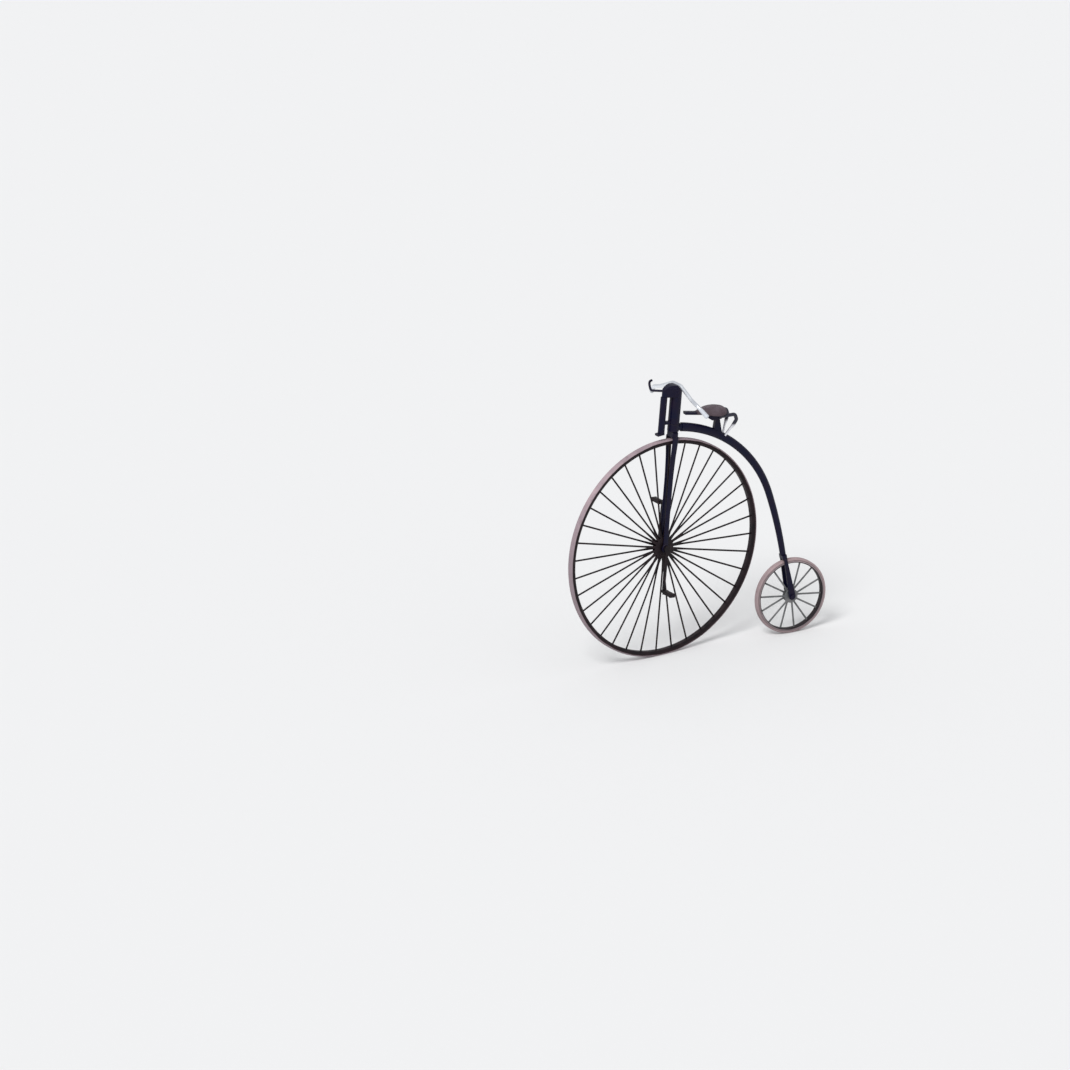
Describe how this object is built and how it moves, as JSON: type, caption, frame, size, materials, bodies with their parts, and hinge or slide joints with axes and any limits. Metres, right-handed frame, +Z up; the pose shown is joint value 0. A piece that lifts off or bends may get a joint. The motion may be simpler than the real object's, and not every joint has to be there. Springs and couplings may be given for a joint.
{
  "type": "scale model penny farthing bicycle",
  "caption": "Small metal scale model of a high-wheel bicycle with a turning fork, free wheels, spoon brake, curved backbone and sprung saddle.",
  "frame": {"origin": "on top of the saddle, where a rider sits", "axes": "+Z up, -X forwards, -Y to the bicycle's left"},
  "size_m": [0.0444, 0.0147, 0.0426],
  "materials": {
    "frame_paint": "satin black enamel",
    "wheel_paint": "satin black paint on etched metal",
    "rear_wheel_paint": "worn grey paint on etched metal",
    "tyre_paint": "matt pale pinkish grey paint",
    "saddle_leather": "matt grey-brown leather colour",
    "bare_wire": "polished bare wire",
    "grip_paint": "pale grey satin paint",
    "spring_wire": "dark wire, bare metal below"
  },
  "bodies": {
    "frame": {"backbone": "frame_paint", "neck": "frame_paint", "rear_fork_crown": "frame_paint", "rear_fork_blade_left": "frame_paint", "rear_fork_blade_right": "frame_paint", "rear_axle": "frame_paint", "saddle_top": "saddle_leather", "saddle_frame": "frame_paint", "saddle_post": "frame_paint", "saddle_spring_left": "spring_wire", "saddle_spring_right": "spring_wire"},
    "steering": {"fork_crown": "frame_paint", "fork_leg_left": "frame_paint", "fork_leg_right": "frame_paint", "steering_column": "frame_paint", "handlebar_lug": "frame_paint", "handlebar": "bare_wire", "grip_left": "grip_paint", "grip_right": "grip_paint", "brake_rod": "frame_paint", "brake_spoon": "frame_paint", "brake_bracket": "frame_paint", "brake_lever": "frame_paint"},
    "front_wheel": {"front_tyre": "tyre_paint", "front_rim": "wheel_paint", "front_spokes_left": "wheel_paint", "front_spokes_right": "wheel_paint", "front_hub": "wheel_paint", "crank_left": "wheel_paint", "crank_right": "wheel_paint", "pedal_left": "wheel_paint", "pedal_right": "wheel_paint"},
    "rear_wheel": {"rear_tyre": "tyre_paint", "rear_rim": "rear_wheel_paint", "rear_spokes_left": "rear_wheel_paint", "rear_spokes_right": "rear_wheel_paint", "rear_hub": "rear_wheel_paint"}
  },
  "joints": [
    {"name": "steering", "type": "hinge", "parent": "frame", "child": "steering", "pos_m": [-0.00915, 0, -0.0209], "axis": [0.0872, 0, 0.9962], "range_deg": [-43, 27]},
    {"name": "front_wheel_spin", "type": "hinge", "parent": "steering", "child": "front_wheel", "pos_m": [-0.00915, 0, -0.0209], "axis": [0.1386, -0.9903, -0.0121], "continuous": true},
    {"name": "rear_wheel_spin", "type": "hinge", "parent": "frame", "child": "rear_wheel", "pos_m": [0.01247, 0, -0.032], "axis": [0, -1, 0], "continuous": true}
  ]
}
